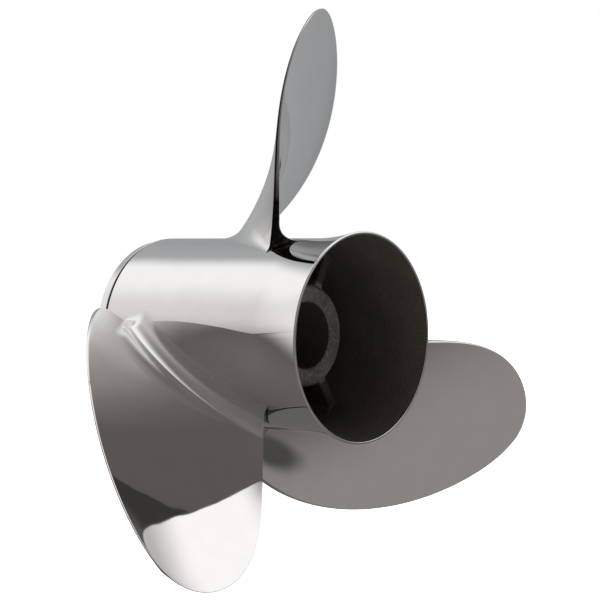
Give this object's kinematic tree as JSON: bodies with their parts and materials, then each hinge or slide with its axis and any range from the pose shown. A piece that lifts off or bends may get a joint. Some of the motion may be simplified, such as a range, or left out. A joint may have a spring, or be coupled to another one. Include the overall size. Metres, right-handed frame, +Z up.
{
  "type": "boat propeller",
  "caption": "Right-hand, through-hub-exhaust boat propeller: raked, skewed blades on a barrel with a flared aft ring and an inner hub on ribs.",
  "frame": {"origin": "on the shaft axis, in the plane of the inner hub's forward thrust face", "axes": "+Y forward along the shaft, +X to starboard, +Z up with one blade straight up"},
  "size_m": [0.3228, 0.159, 0.3028],
  "materials": {
    "barrel": "mirror polished stainless steel",
    "exhaust_ring": "mirror polished outside, dull and dark inside",
    "front_collar": "polished stainless steel",
    "inner_hub": "dull as-cast stainless steel",
    "rib_1": "dull as-cast stainless steel",
    "rib_2": "dull as-cast stainless steel",
    "rib_3": "dull as-cast stainless steel",
    "blade_1": "mirror polished stainless steel",
    "blade_2": "mirror polished stainless steel",
    "blade_3": "mirror polished stainless steel"
  },
  "bodies": {
    "root": {"barrel": "barrel", "exhaust_ring": "exhaust_ring", "front_collar": "front_collar", "inner_hub": "inner_hub", "rib_1": "rib_1", "rib_2": "rib_2", "rib_3": "rib_3", "blade_1": "blade_1", "blade_2": "blade_2", "blade_3": "blade_3"}
  },
  "joints": []
}
